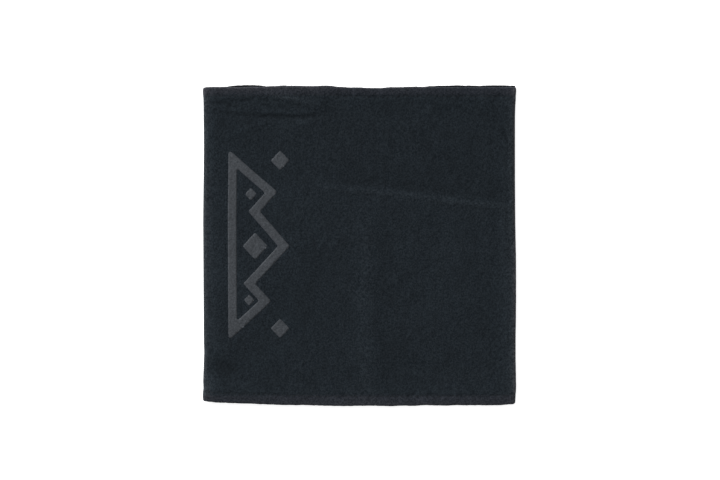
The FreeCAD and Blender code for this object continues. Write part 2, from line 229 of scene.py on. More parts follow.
# ---------------------------------------------------------------- relief of the cloth
# polyline on the front wall, height (below zero, a groove), width, share taken by each end's fade
CREASES = [
    ([(-121, 111.0), (-101, 109.6), (-84, 107.8)], -0.42, 2.1, 0.3),
    ([(-88, 107.8), (-64, 106.4), (-44, 106.4), (-27, 108.0)], -0.95, 1.9, 0.25),
    ([(-119, 113.0), (-98, 112.0), (-60, 109.6), (-30, 111.4)], 0.42, 2.6, 0.25),
    ([(-128, 118.0), (-114, 118.4), (-99, 114.6)], -0.75, 1.8, 0.35),
    ([(-112, 121.0), (-98, 120.4), (-84, 121.4)], -0.55, 1.7, 0.35),
    ([(-80, 127.5), (-55, 121.8), (-24, 113.6)], 0.72, 2.6, 0.25),
    ([(-90, 121.8), (-74, 121.4), (-60, 119.6)], -0.42, 2.2, 0.35),
    ([(-62, 118.0), (-44, 113.0), (-30, 110.0)], -0.22, 2.6, 0.35),
    ([(-108, 91.0), (-92, 97.6), (-74, 103.0)], 0.46, 2.9, 0.3),
    ([(-60, 100.0), (-30, 103.0), (-8, 102.0)], 0.25, 3.0, 0.3),
    ([(-40, 49.0), (-4, 46.0), (40, 41.6), (66, 38.0), (94, 34.4), (130, 31.4)], 0.66, 2.9, 0.2),
    ([(58, 39.0), (94, 34.4), (130, 31.4)], 0.30, 2.7, 0.4),
    ([(-34, 58.0), (14, 52.0), (60, 46.4), (130, 40.4)], -0.20, 4.6, 0.2),
    ([(5.6, 25), (5.8, -20), (5.4, -60), (6.6, -128)], 0.26, 8.0, 0.2),
    ([(21, 25), (24, -20), (22, -60), (26, -128)], -0.38, 9.0, 0.2),
    ([(-120, -94), (-111, -102), (-101, -108)], -0.9, 5.5, 0.4),
    ([(-127, -116), (-112, -112), (-94, -113)], 0.45, 3.6, 0.4),
    ([(60, 118), (66, 96), (64, 70)], 0.35, 5.0, 0.4),
    ([(96, 14), (104, -30), (101, -92)], -0.34, 8.0, 0.4),
    ([(-44, 22), (-38, -30), (-44, -84)], -0.34, 8.0, 0.4),
    ([(20, -104), (60, -110), (104, -108)], 0.30, 4.0, 0.4),
    ([(-20, -30), (14, -52), (40, -58)], 0.24, 5.0, 0.4),
    ([(52, -10), (80, -2), (112, -6)], 0.26, 4.5, 0.4),
    ([(118, 92), (121, 60), (119, 20), (122, -40)], 0.25, 3.2, 0.3),
]


def front_thickness(x, y):
    to_hem = np.minimum(HALF_H - y, HALF_H + y)
    # between the hems the single cloth lies lower, but less so near the seam
    h = ROLL - 0.95 * smooth((to_hem - STITCH_D) / 15.0) * (1 - 0.8 * smooth((x - 94) / 14))
    # the hem swells between its edge and its stitch line, which puckers the cloth
    swell = np.sin(np.clip(to_hem / STITCH_D, 0, 1) * math.pi) * (to_hem < STITCH_D)
    h = h + 0.16 * swell
    pucker = 1.0 + 0.35 * np.sin(x * 2 * math.pi / STITCH_PITCH) + 0.5 * noise(x, y, 6.0, 12)
    h = h - 0.40 * pucker * bell(to_hem - STITCH_D, 1.0)
    h = h + 0.16 * noise(x, y, 3.2, 13) * bell(to_hem - STITCH_D, 4.0)
    # creases and broad unevenness, kept off the rims
    inside = smooth((to_hem - 1.5) / 6.0)
    for points, height, width, ends in CREASES:
        h = h + crease(x, y, points, height, width, ends) * inside
    h = h + inside * (0.26 * noise(x, y, 46.0, 21) + 0.13 * noise(x * 0.8, y, 19.0, 22)
                      + 0.05 * noise(x, y, 8.0, 23))
    # the cloth rolls off towards the fold and towards the seam, where it is drawn in a little
    to_seam = HALF_W - x
    h = h - 0.75 * (1 - smooth((x + HALF_W - 2.5) / 8.5)) - 0.20 * (1 - smooth((to_seam - 2.5) / 5.5))
    h = h - 0.12 * bell(to_seam - 6.4, 1.2)
    # the pile
    h = h + 0.10 * noise(x, y, 1.9, 31) + 0.08 * noise(x, y, 1.15, 32)
    return np.clip(h, 2.05, ROLL + 0.35)


def back_thickness(x, y):
    """The back wall lies pressed on the floor: nearly flat, with its stitch line drawn in."""
    groove = bell(np.minimum(HALF_H - y, HALF_H + y) - STITCH_D, 1.05)
    h = ROLL - 0.06 - 0.5 * groove * (1 + 0.3 * np.sin(x * 2 * math.pi / STITCH_PITCH))
    h = h - 0.10 * (1 + noise(x, y, 40.0, 41)) - 0.05 * (1 + noise(x, y, 1.9, 42))
    return np.clip(h, 2.6, ROLL - 0.01)


def half_thickness(x, y, wall):
    """How far the wall's outer face stands from the mid plane."""
    return front_thickness(x, y) if wall == "front" else back_thickness(x, y)


def to_height(rise, wall):
    """Z of a point that stands so far out from the mid plane."""
    return MID + rise if wall == "front" else MID - rise


# ---------------------------------------------------------------- grid of a hemmed wall
def row_lists():
    """Rows from foot to mouth as (layer, value), for the outer and the inner half of a wall.

    On the rounded hem edges the value is an angle, 0 at the outermost point of the hem; elsewhere
    it is y. Both halves have equally many rows, so that a cut end can be capped.
    """
    steps = 7
    quarter = 0.5 * math.pi
    ys = np.linspace(-(HALF_H - 1.8), HALF_H - 1.8, 262)[1:-1].tolist()

    def half(edge, face, angles):
        foot = [(f"{edge}_foot", angle) for angle in angles]
        mouth = [(f"{edge}_mouth", angle) for angle in reversed(angles)]
        return foot + [(face, y) for y in ys] + mouth

    outer_angles = [k / (steps - 1) * quarter for k in range(steps)]
    inner_angles = [(k + 0.7) / (steps - 0.3) * quarter for k in range(steps)]
    return half("edge", "out", outer_angles), half("under", "in", inner_angles)


def column_arrays():
    """Each column's x on the flat, its roll angle (0 on the flat), and the side it rolls to."""
    fold = np.linspace(0.5 * math.pi, 0.0, 11)[:-1]
    flat = np.linspace(FOLD_X, SEAM_X, 253)
    # The last column but one is the lip of the seam, where the two walls touch; the last is the
    # bottom of the fine groove between the lips.
    seam = np.append(np.linspace(0.0, 0.455 * math.pi, 11)[1:], [0.484 * math.pi, 0.497 * math.pi])
    flat_x = np.concatenate([np.full(len(fold), FOLD_X), flat, np.full(len(seam), SEAM_X)])
    angle = np.concatenate([fold, np.zeros(len(flat)), seam])
    sign = np.concatenate([np.full(len(fold), -1.0), np.ones(len(flat) + len(seam))])
    return flat_x, angle, sign


OUTER_ROWS, INNER_ROWS = row_lists()
COL_FLAT_X, COL_ANGLE, COL_SIGN = column_arrays()
COL_X = COL_FLAT_X + COL_SIGN * ROLL * np.sin(COL_ANGLE)


def roll_reach(y, rise, wall):
    """Radius at which a layer goes round the fold and the seam."""
    inside_y = np.clip(y, -HALF_H + 3, HALF_H - 3)
    return ROLL * np.clip(rise / half_thickness(COL_X, inside_y, wall), 0, 1.05)


def hem_edge_row(layer, angle, row, wall):
    """A row on a hem's rounded edge: y, rise and radius of the roll for each column."""
    end = -1.0 if layer.endswith("foot") else 1.0
    side = 1.0 if layer.startswith("edge") else -1.0
    y_edge = np.full(len(COL_X), end * HALF_H)
    radius = (half_thickness(COL_X, y_edge * (1 - 3.0 / HALF_H), wall) - WALL_GAP) / 2
    fuzz = 0.10 * noise(COL_X + 31 * row, y_edge, 1.6, 51)
    y = end * (HALF_H - radius + (radius + fuzz) * math.cos(angle))
    rise = WALL_GAP + radius + side * radius * math.sin(angle)
    return y, rise, roll_reach(y, rise, wall)


def outer_row(y, wall):
    rise = half_thickness(COL_X, y, wall)
    return y, rise, roll_reach(y, rise, wall)


def inner_row(y, wall):
    """The inner face steps from the hem's turn-in to the single ply at the turn-in's raw edge."""
    past_turn = smooth((HALF_H - abs(y) - TURN_D + 0.35) / 0.7)
    ply_face = np.maximum(half_thickness(COL_X, y, wall) - PLY, 0.16)
    turn_face = WALL_GAP + 0.05 * (1 + noise(COL_X, y, 3.0, 61))
    ply_reach = (ROLL - PLY) * (1.0 if wall == "front" else 0.95)
    rise = turn_face * (1 - past_turn) + ply_face * past_turn
    return y, rise, turn_face * (1 - past_turn) + ply_reach * past_turn


def wall_half(rows, wall):
    """Points of one half of a wall as [row, column, xyz]."""
    grid = np.zeros((len(rows), len(COL_X), 3))
    for i, (layer, value) in enumerate(rows):
        share = np.ones(len(COL_X))
        if layer == "out":
            y, rise, reach = outer_row(np.full(len(COL_X), value), wall)
        elif layer == "in":
            y, rise, reach = inner_row(np.full(len(COL_X), value), wall)
            share = 1 - 0.6 * np.sin(COL_ANGLE)
        else:
            y, rise, reach = hem_edge_row(layer, value, i, wall)
        x = COL_FLAT_X + COL_SIGN * reach * np.sin(COL_ANGLE)
        x[-1] = min(x[-1], HALF_W - SEAM_GROOVE)
        share[-1] = 0.0
        rise = rise * np.cos(COL_ANGLE)
        grid[i, :, 0], grid[i, :, 1] = place(x, y, wall, rise, share)
        grid[i, :, 2] = to_height(rise, wall)
    return grid


# ---------------------------------------------------------------- materials
class Shader:
    """A material with one Principled shader, and short ways to add the nodes that feed it."""

    def __init__(self, name):
        self.material = bpy.data.materials.new(name)
        self.material.use_nodes = True
        self.nodes, self.links = self.material.node_tree.nodes, self.material.node_tree.links
        self.nodes.clear()
        output = self.nodes.new("ShaderNodeOutputMaterial")
        self.bsdf = self.nodes.new("ShaderNodeBsdfPrincipled")
        self.links.new(self.bsdf.outputs["BSDF"], output.inputs["Surface"])

    def feed(self, socket, value):
        if hasattr(value, "is_output"):
            self.links.new(value, socket)
        else:
            socket.default_value = value

    def surface(self, settings):
        for name, value in settings.items():
            self.feed(self.bsdf.inputs[name], value)

    def attribute(self, name, output="Fac"):
        node = self.nodes.new("ShaderNodeAttribute")
        node.attribute_name = name
        return node.outputs[output]

    def pattern(self):
        return self.attribute("pattern", "Vector")

    def noise(self, coords, scale, detail=2.0, rough=0.5, distortion=0.0, stretch=None):
        if stretch is not None:
            mapping = self.nodes.new("ShaderNodeMapping")
            mapping.inputs["Scale"].default_value = stretch
            self.links.new(coords, mapping.inputs["Vector"])
            coords = mapping.outputs["Vector"]
        node = self.nodes.new("ShaderNodeTexNoise")
        node.inputs["Scale"].default_value = scale
        node.inputs["Detail"].default_value = detail
        node.inputs["Roughness"].default_value = rough
        node.inputs["Distortion"].default_value = distortion
        self.links.new(coords, node.inputs["Vector"])
        return node.outputs["Fac"]

    def remap(self, value, low, high, to_low=0.0, to_high=1.0):
        node = self.nodes.new("ShaderNodeMapRange")
        node.inputs["From Min"].default_value = low
        node.inputs["From Max"].default_value = high
        node.inputs["To Min"].default_value = to_low
        node.inputs["To Max"].default_value = to_high
        self.links.new(value, node.inputs["Value"])
        return node.outputs["Result"]

    def mix(self, factor, a, b, mode="MIX"):
        node = self.nodes.new("ShaderNodeMix")
        node.data_type = "RGBA"
        node.blend_type = mode
        # 0 is the factor; 6 and 7 are the colour sockets A and B
        for index, value in ((0, factor), (6, a), (7, b)):
            self.feed(node.inputs[index], value)
        return node.outputs[2]

    def calc(self, operation, a, b):
        node = self.nodes.new("ShaderNodeMath")
        node.operation = operation
        self.feed(node.inputs[0], a)
        self.feed(node.inputs[1], b)
        return node.outputs[0]

    def combine(self, channels):
        node = self.nodes.new("ShaderNodeCombineColor")
        for k, channel in enumerate(channels):
            self.links.new(channel, node.inputs[k])
        return node.outputs[0]

    def bump(self, height, strength, distance):
        node = self.nodes.new("ShaderNodeBump")
        node.inputs["Strength"].default_value = strength
        node.inputs["Distance"].default_value = distance
        self.links.new(height, node.inputs["Height"])
        self.links.new(node.outputs["Normal"], self.bsdf.inputs["Normal"])


def fleece_material():
    s = Shader("fleece_charcoal")
    coords = s.pattern()
    tone, tint = s.attribute("tone"), s.attribute("tint")
    # fibre tufts of about 0.5 mm, and brushed clumps of about 1 mm
    fine = s.noise(coords, scale=1900.0, rough=0.7)
    tuft = s.noise(coords, scale=790.0, detail=1.0, rough=0.6, distortion=0.4,
                   stretch=(1.0, 0.86, 1.0))
    # where the pile lies one way or another
    mottle = s.noise(coords, scale=42.0, detail=3.0, rough=0.6)
    streak = s.noise(coords, scale=260.0, rough=0.6, stretch=(1.0, 0.35, 1.0))

    deep, clump, fibre = (0.0026, 0.0050, 0.0074, 1), (0.0124, 0.0171, 0.0216, 1), (0.0262, 0.0330, 0.0400, 1)
    base = s.mix(s.remap(tuft, low=0.36, high=0.66), deep, clump)
    base = s.mix(s.remap(fine, low=0.46, high=0.72, to_high=0.60), base, fibre)
    shade = s.calc("MULTIPLY", s.remap(mottle, low=0.3, high=0.7, to_low=0.90, to_high=1.10),
                   s.remap(streak, low=0.3, high=0.7, to_low=0.89, to_high=1.11))
    # tone below 1 is painted shade that darkens the base; up to 1.15 it lightens it
    shade = s.calc("MULTIPLY", shade, s.calc("MINIMUM", tone, 1.15))
    base = s.mix(1.0, base, s.combine([shade] * 3), "MULTIPLY")

    # tone above 1 adds a pale grey painted sheen, the light caught along rims, ridges and wrinkles
    painted_sheen = s.calc("MAXIMUM", s.calc("SUBTRACT", tone, 1.0), 0.0)
    patchy = s.remap(tuft, low=0.36, high=0.66, to_low=0.45, to_high=1.55)
    painted_sheen = s.calc("MULTIPLY", painted_sheen, patchy)
    painted_sheen_color = (0.0104, 0.0108, 0.0110)
    fuzz = s.combine([s.calc("MULTIPLY", painted_sheen, share) for share in painted_sheen_color])
    base = s.mix(1.0, base, fuzz, "ADD")
    plain_grey = (1.20, 1.03, 1.06, 1)
    base = s.mix(tint, base, s.mix(1.0, base, plain_grey, "MULTIPLY"))
    s.surface({
        "Base Color": base,
        "Roughness": 0.95,
        "Specular IOR Level": 0.10,
        "Sheen Weight": s.calc("MULTIPLY", s.calc("MINIMUM", tone, 1.6), 0.055),
        "Sheen Roughness": 0.5,
        "Sheen Tint": (0.80, 0.88, 0.97, 1),
    })
    height = s.calc("ADD", s.calc("MULTIPLY", fine, 0.5), tuft)
    s.bump(height, strength=0.8, distance=0.0005)
    return s.material


def print_material():
    s = Shader("tonal_print_grey")
    coords = s.pattern()
    pile = s.noise(coords, scale=760.0, detail=3.0, rough=0.65, distortion=0.5)
    speck = s.noise(coords, scale=1700.0, rough=0.6)
    mottle = s.noise(coords, scale=60.0)
    dark, light, gap = (0.0190, 0.0226, 0.0270, 1), (0.0565, 0.0632, 0.0725, 1), (0.0150, 0.0190, 0.0230, 1)
    base = s.mix(s.remap(pile, low=0.32, high=0.70), dark, light)
    base = s.mix(s.remap(speck, low=0.55, high=0.70, to_high=0.90), base, gap)
    shade = s.remap(mottle, low=0.3, high=0.7, to_low=0.93, to_high=1.07)
    base = s.mix(1.0, base, s.combine([shade] * 3), "MULTIPLY")
    s.surface({
        "Base Color": base,
        "Roughness": 0.72,
        "Specular IOR Level": 0.25,
        "Sheen Weight": 0.04,
    })
    s.bump(pile, strength=0.6, distance=0.0003)
    return s.material


def thread_material(name, dark, light, twist):
    """Twisted thread; twist is the scale of its diagonal bands."""
    s = Shader(name)
    coords = s.pattern()
    wave = s.nodes.new("ShaderNodeTexWave")
    wave.wave_type = "BANDS"
    wave.bands_direction = "DIAGONAL"
    wave.inputs["Scale"].default_value = twist
    wave.inputs["Distortion"].default_value = 0.6
    s.links.new(coords, wave.inputs["Vector"])
    s.surface({
        "Base Color": s.mix(wave.outputs["Fac"], dark, light),
        "Roughness": 0.7,
        "Specular IOR Level": 0.15,
        "Sheen Weight": 0.015,
    })
    s.bump(wave.outputs["Fac"], strength=0.6, distance=0.00008)
    return s.material


def label_material():
    s = Shader("satin_label")
    coords = s.pattern()
    weave = s.noise(coords, scale=2600.0, detail=1.0, stretch=(0.25, 1.0, 1.0))
    dirt = s.noise(coords, scale=180.0)
    dark, light, soiled = (0.52, 0.52, 0.50, 1), (0.64, 0.64, 0.62, 1), (0.45, 0.44, 0.42, 1)
    base = s.mix(s.remap(weave, low=0.3, high=0.7), dark, light)
    base = s.mix(s.remap(dirt, low=0.5, high=0.9, to_high=0.25), base, soiled)
    s.surface({"Base Color": base, "Roughness": 0.42, "Sheen Weight": 0.1})
    s.bump(weave, strength=0.35, distance=0.0001)
    return s.material


def floor_material():
    s = Shader("studio_floor")
    s.surface({
        "Base Color": (0.88, 0.88, 0.88, 1),
        "Roughness": 0.9,
        "Specular IOR Level": 0.1,
        "Emission Color": (1, 1, 1, 1),
        "Emission Strength": 0.70,
    })
    return s.material


FLEECE = fleece_material()
PRINT = print_material()
THREAD = thread_material("thread_black", dark=(0.0060, 0.0072, 0.0085, 1),
                         light=(0.0150, 0.0175, 0.0200, 1), twist=900.0)
OVERLOCK = thread_material("overlock_thread_charcoal", dark=(0.020, 0.023, 0.026, 1),
                           light=(0.050, 0.056, 0.062, 1), twist=700.0)
LABEL = label_material()


# ---------------------------------------------------------------- making mesh objects
def link(name, mesh):
    obj = bpy.data.objects.new(name, mesh)
    bpy.context.scene.collection.objects.link(obj)
    return obj


def make(name, points, faces, material, slot, normals=None, tone=None, tint=None):
    """An object from points in mm. The attribute "pattern" keeps the rest position for the
    material, so that the pile stays put when the cloth bends."""
    mesh = bpy.data.meshes.new(name)
    points_m = np.asarray(points) * MM
    mesh.from_pydata(points_m.tolist(), [], faces)
    mesh.validate()
    mesh.update()
    mesh.polygons.foreach_set("use_smooth", [True] * len(mesh.polygons))
    pattern = mesh.attributes.new("pattern", "FLOAT_VECTOR", "POINT")
    pattern.data.foreach_set("vector", points_m.astype(np.float32).ravel())
    for attribute_name, values in (("tone", tone), ("tint", tint)):
        if values is not None:
            attribute = mesh.attributes.new(attribute_name, "FLOAT", "POINT")
            attribute.data.foreach_set("value", np.asarray(values, np.float32))
    if normals is not None:
        mesh.normals_split_custom_set_from_vertices(np.asarray(normals, float).tolist())
    mesh.materials.append(material)
    obj = link(name, mesh)
    return obj


def loop_quads(index):
    """Quads of a [row, column] grid of vertex numbers that closes on itself along the rows."""
    after = np.roll(index, -1, 0)
    quads = np.stack([index[:, :-1], index[:, 1:], after[:, 1:], after[:, :-1]], axis=-1)
    return quads.reshape(-1, 4)


def grid_normals(grid, flip):
    """Vertex normals of a [row, column, xyz] grid that closes on itself along the rows."""
    across = np.empty_like(grid)
    across[:, 1:-1] = grid[:, 2:] - grid[:, :-2]
    across[:, 0] = grid[:, 1] - grid[:, 0]
    across[:, -1] = grid[:, -1] - grid[:, -2]
    normal = np.cross(across, np.roll(grid, -1, 0) - np.roll(grid, 1, 0))
    normal /= np.maximum(np.linalg.norm(normal, axis=2, keepdims=True), 1e-9)
    return -normal if flip else normal


def tube(path, radius):
    """Points and faces of a round, six-sided thread along a path, with closed ends."""
    sides = 6
    path = np.asarray(path, float)
    tangent = np.gradient(path, axis=0)
    tangent /= np.maximum(np.linalg.norm(tangent, axis=1, keepdims=True), 1e-9)
    side = np.cross(tangent, np.array([0.0, 0.0, 1.0]))
    side[np.linalg.norm(side, axis=1) < 1e-3] = np.array([0.0, 1.0, 0.0])
    side /= np.linalg.norm(side, axis=1, keepdims=True)
    other = np.cross(side, tangent)
    radius = np.broadcast_to(np.asarray(radius, float), (len(path),))
    angle = np.linspace(0, 2 * math.pi, sides, endpoint=False)[None, :, None]
    spoke = np.cos(angle) * side[:, None] + np.sin(angle) * other[:, None]
    points = (path[:, None] + radius[:, None, None] * spoke).reshape(-1, 3)
    index = np.arange(len(points)).reshape(len(path), sides).tolist()
    faces = []
    for here, there in zip(index, index[1:]):
        for j in range(sides):
            k = (j + 1) % sides
            faces.append([here[j], there[j], there[k], here[k]])
    faces += [index[0], index[-1][::-1]]
    return points, faces


def gather(parts):
    """One set of points and faces from several."""
    points, faces, base = [], [], 0
    for part_points, part_faces in parts:
        points.append(part_points)
        faces += [[v + base for v in face] for face in part_faces]
        base += len(part_points)
    return np.concatenate(points), faces


# ---------------------------------------------------------------- baking the parts' transforms
def bend_across(obj):
    """Bakes the transform of a part over a bending line into its mesh."""
    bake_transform(obj)


def fold_across(obj):
    """Bakes the transform of the part over the folded edge into its mesh."""
    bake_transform(obj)


def attach(obj, part, cad_prefix):
    """Bakes a part's transform, and hides the CAD pieces it stands in for."""
    if part == 0:
        fold_across(obj)
    else:
        bend_across(obj)
        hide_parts(*[cad_prefix + panel for panel in PART_PANELS[part - 1]])


# ---------------------------------------------------------------- fleece walls
def front_tone(x, y, mouth, foot, tone):
    """Front wall: mouth and foot are the distances from those edges."""
    # painted highlight along the mouth rim, strongest left of x = -26 and weak beyond x = 52
    rim = 1.25 + 1.0 * smooth((x + 122) / 8) * smooth((-26 - x) / 10) - 1.1 * smooth((x - 52) / 10)
    tone = tone + rim * decay(mouth, 1.8) + 0.45 * bell(x + 106, 15) * decay(mouth, 3.2)
    tone = tone + 0.15 * decay(mouth, 9.0) + 0.07 * (1 - smooth((mouth - 7.0) / 2.0))
    # painted highlight along the foot rim, and a paler band over the foot hem
    foot_hem = 0.11 - 0.04 * smooth((x - 10) / 70)
    tone = tone + 0.55 * decay(foot, 2.0) + 0.13 * decay(foot, 9.0)
    tone = tone + foot_hem * (1 - smooth((foot - 7.0) / 2.0))
    # darker above the cross crease, and in two patches by the left corners
    tone = tone - 0.07 * smooth((y - 46 + 0.11 * x) / 8) * smooth((x + 50) / 30)
    tone = tone - 0.12 * bell(x + 111, 13) * bell(y + 104, 12)
    tone = tone - 0.13 * bell(x + 105, 58) * bell(y - 98, 34)
    # painted highlight along the lengthwise ridge at x = 6 and painted shade beside it, in the lower half
    lower = smooth((20 - y) / 20)
    tone = tone + 0.04 * bell(x - 6, 7) * lower - 0.04 * bell(x - 34, 12) * lower
    # two painted highlights along wrinkles on the mouth hem
    tone = tone + crease(x, y, [(-94, 127.2), (-84, 127.6), (-75, 127.2)],
                         height=0.14, width=1.1, ends=0.35)
    return tone + crease(x, y, [(-76, 123.8), (-64, 122.5), (-48, 121.7)],
                         height=0.42, width=1.1, ends=0.3)


def tone_map(x, y, wall):
    """Lightness of the pile, which carries painted light: painted highlights along the rims, ridges and
    wrinkles, and painted shade in grooves and at the back wall's mouth.
    """
    fold, seam = np.clip(x + HALF_W, 0, None), np.clip(HALF_W - x, 0, None)
    mouth, foot = np.clip(HALF_H - y, 0, None), np.clip(HALF_H + y, 0, None)
    # painted highlight along the rims of the folded edge and of the side seam, where the rolled cloth turns
    # to the light
    tone = 1 + 1.70 * decay(fold, 1.9) + 0.72 * decay(fold, 4.2)
    tone = tone + 2.10 * decay(seam, 1.9) + 0.34 * decay(seam, 6.0)
    if wall == "front":
        tone = front_tone(x, y, mouth, foot, tone)
    else:
        # back wall: painted shade along its mouth edge, in the shadow of the front wall, and paler towards
        # its foot
        tone = tone * (1 - 0.50 * bell(mouth, 2.6)) + 0.25 * decay(foot, 5.0)
    # painted shade along the stitch lines' grooves; creases catch or lose light by their height, as painted
    # highlight and painted shade
    tone = tone - 0.04 * bell(np.minimum(mouth, foot) - STITCH_D, 1.0)
    if wall == "front":
        for points, height, width, ends in CREASES:
            tone = tone + crease(x, y, points, 0.22 * height, width, ends)
    return np.clip(tone, 0.12, 3.2)


def tint_map(x, y):
    """How far the pressed, doubled cloth of the hems and the rim of the side seam lean from
    blue-grey to a plain grey."""
    hems = 1 - smooth((HALF_H - np.abs(y) - 6.5) / 2.5)
    return np.maximum(hems, 0.8 * (1 - smooth((HALF_W - x - 0.6) / 2.2)))


def part_faces(rows, cols, wall):
    """Faces of one part of a wall, with both cut ends capped."""
    index = np.arange(rows * cols).reshape(rows, cols)
    half = len(OUTER_ROWS)
    faces = [loop_quads(index)]
    for col, turn in ((0, False), (cols - 1, True)):
        outer, inner = index[:half, col], index[half:, col][::-1]
        cap = np.stack([outer[:-1], outer[1:], inner[1:], inner[:-1]], axis=-1)
        faces.append(cap[:, ::-1] if turn else cap)
    faces = np.concatenate(faces)
    return (faces[:, ::-1] if wall == "back" else faces).tolist()


def build_wall(wall):
    # closed section: the outer half from foot to mouth, the inner half from mouth to foot
    outer, inner = wall_half(OUTER_ROWS, wall), wall_half(INNER_ROWS, wall)
    ring = np.concatenate([outer, inner[::-1]], axis=0)
    rows, cols = ring.shape[:2]
    normals = grid_normals(ring, flip=wall == "back")
    tones = tone_map(ring[..., 0], ring[..., 1], wall)
    tones[:, -2:] *= (0.55, 0.15)                 # painted shade in the seam line's groove, where the pile is pinched
    tints = tint_map(ring[..., 0], ring[..., 1])
    cuts = [0] + [int(np.argmin(abs(COL_X - x))) for x in SPLIT_X] + [cols - 1]
    for k, part in enumerate(PARTS):
        span = slice(cuts[k], cuts[k + 1] + 1)
        obj = make(
            f"fleece_{wall}_over_{part}", ring[:, span].reshape(-1, 3),
            part_faces(rows, span.stop - span.start, wall), FLEECE, "fleece",
            normals=normals[:, span].reshape(-1, 3),
            tone=tones[:, span].ravel(), tint=tints[:, span].ravel(),
        )
        attach(obj, k, f"{wall}_")
        if part == "fold" and wall == "front":
            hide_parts("left_fold")


for wall in ("front", "back"):
    build_wall(wall)


# ---------------------------------------------------------------- hem stitches
ARC = ROLL * math.pi / 2                          # a quarter round of the fold or the seam
FLAT_S = ARC - FOLD_X                             # arc length from the folded edge to x = 0


def skin(s, y, wall):
    """The outer face at arc length s from the folded edge: x on the flat, the side it rolls to,
    its roll angle, and its distance from the mid plane."""
    flat = SEAM_X - FOLD_X
    on_fold, on_seam = s < ARC, s > ARC + flat
    x = FOLD_X + np.clip(s - ARC, 0, flat)
    angle = (np.where(on_fold, (1 - s / ARC) * math.pi / 2, 0)
             + np.where(on_seam, (s - ARC - flat) / ARC * math.pi / 2, 0))
    sign = np.where(on_fold, -1.0, 1.0)
    seam_x = np.where(on_seam, SEAM_X + ROLL * np.sin(angle), x)
    face_x = np.where(on_fold, FOLD_X - ROLL * np.sin(angle), seam_x)
    return x, sign, angle, half_thickness(face_x, y, wall)


def stitch(start, y, length, wall, slant):
    """One stitch, its ends sunk into the cloth; start is an arc length."""
    t = np.linspace(0, 1, 7)
    y = np.full(7, y) + slant * (t - 0.5)
    x, sign, angle, h = skin(start + t * length, y, wall)
    reach = h + (0.16 * np.sin(t * math.pi) ** 0.6 - 0.12)
    # under the back wall the thread stays above the floor
    rise = np.minimum(reach, MID - 0.24) if wall == "back" else reach
    rise = rise * np.cos(angle)
    x, y = place(x + sign * reach * np.sin(angle), y, wall, rise - 0.1)
    radius = 0.23 * np.sin(np.clip(t, 0.04, 0.96) * math.pi) ** 0.35
    return tube(np.stack([x, y, to_height(rise, wall)], axis=1), radius)


def build_hem_threads(wall, rng):
    limits = [0.0] + [x + FLAT_S for x in SPLIT_X] + [FLAT_S + SEAM_X + 0.72 * ARC]
    for k, part in enumerate(PARTS):
        stitches = []
        for end in (-1, 1):
            start = limits[k] + 0.6
            while start + STITCH_LENGTH < limits[k + 1]:
                y = end * (HALF_H - STITCH_D) + rng.uniform(-0.06, 0.06)
                length = STITCH_LENGTH + rng.uniform(-0.15, 0.1)
                stitches.append(stitch(start, y, length, wall, rng.uniform(-0.12, 0.12)))
                start += STITCH_PITCH
        obj = make(f"hem_thread_{wall}_over_{part}", *gather(stitches), THREAD, "thread")
        attach(obj, k, f"hem_stitches_{wall}_")


stitch_rng = np.random.default_rng(77)
for wall in ("front", "back"):
    build_hem_threads(wall, stitch_rng)


# ---------------------------------------------------------------- tonal emblem, printed on the pile
# It reads with its top towards +X, and runs from its mouth end towards the foot.
EMBLEM_LOW, EMBLEM_HIGH = box_mm("emblem_outer")
EMBLEM_TOP_X = box_mm("emblem_inner")[1].x
STROKE = 7.4                                      # width of the zigzag outline
# corners of the zigzag outline: share of the emblem's length, share of its height
RIDGE = [(0.0, 0.0), (0.225, 0.80), (0.325, 0.52), (0.505, 1.0), (0.70, 0.44), (0.79, 0.70), (1.0, 0.0)]
# diamonds: centre as shares of length and height, half length along Y, half width along X
DIAMONDS = [
    (0.062, 0.84, 8.2, 8.0), (0.93, 0.84, 8.2, 8.0), (0.235, 0.37, 5.5, 5.0),
    (0.505, 0.44, 11.5, 10.5), (0.785, 0.34, 5.0, 4.4),
]


def emblem_point(run, up):
    return (EMBLEM_LOW.x + up * (EMBLEM_TOP_X - EMBLEM_LOW.x),
            EMBLEM_HIGH.y - run * (EMBLEM_HIGH.y - EMBLEM_LOW.y))


def inset(points, distance):
    """A counterclockwise outline moved inwards."""
    moved = []
    for i, here in enumerate(points):
        before, after = points[i - 1], points[(i + 1) % len(points)]
        heading = math.atan2(here[1] - before[1], here[0] - before[0])
        leaving = math.atan2(after[1] - here[1], after[0] - here[0])
        half = ((leaving - heading + math.pi) % (2 * math.pi) - math.pi) / 2
        reach = distance / math.cos(half)
        normal = heading + half + math.pi / 2
        moved.append((here[0] + reach * math.cos(normal), here[1] + reach * math.sin(normal)))
    return moved


def rounded(points, radius, step=0.9):
    """A closed outline with rounded corners, as closely spaced points."""
    curve = []
    for i, point in enumerate(points):
        corner = np.array(point)
        back, ahead = np.array(points[i - 1]) - corner, np.array(points[(i + 1) % len(points)]) - corner
        back_length, ahead_length = np.linalg.norm(back), np.linalg.norm(ahead)
        back, ahead = back / back_length, ahead / ahead_length
        half = math.acos(np.clip(back @ ahead, -1, 1)) / 2
        cut = min(radius / math.tan(half), back_length * 0.45, ahead_length * 0.45)
        start, end = corner + back * cut, corner + ahead * cut
        for t in np.linspace(0, 1, 7):
            curve.append((1 - t) ** 2 * start + 2 * t * (1 - t) * corner + t ** 2 * end)
    dense = []
    for here, there in zip(curve, curve[1:] + curve[:1]):
        count = max(1, int(np.linalg.norm(there - here) / step))
        for k in range(count):
            dense.append(here + (there - here) * k / count)
    return np.array(dense)


def diamond(run, up, half_y, half_x):
    x, y = emblem_point(run, up)
    return [(x - half_x, y), (x, y - half_y), (x + half_x, y), (x, y + half_y)]


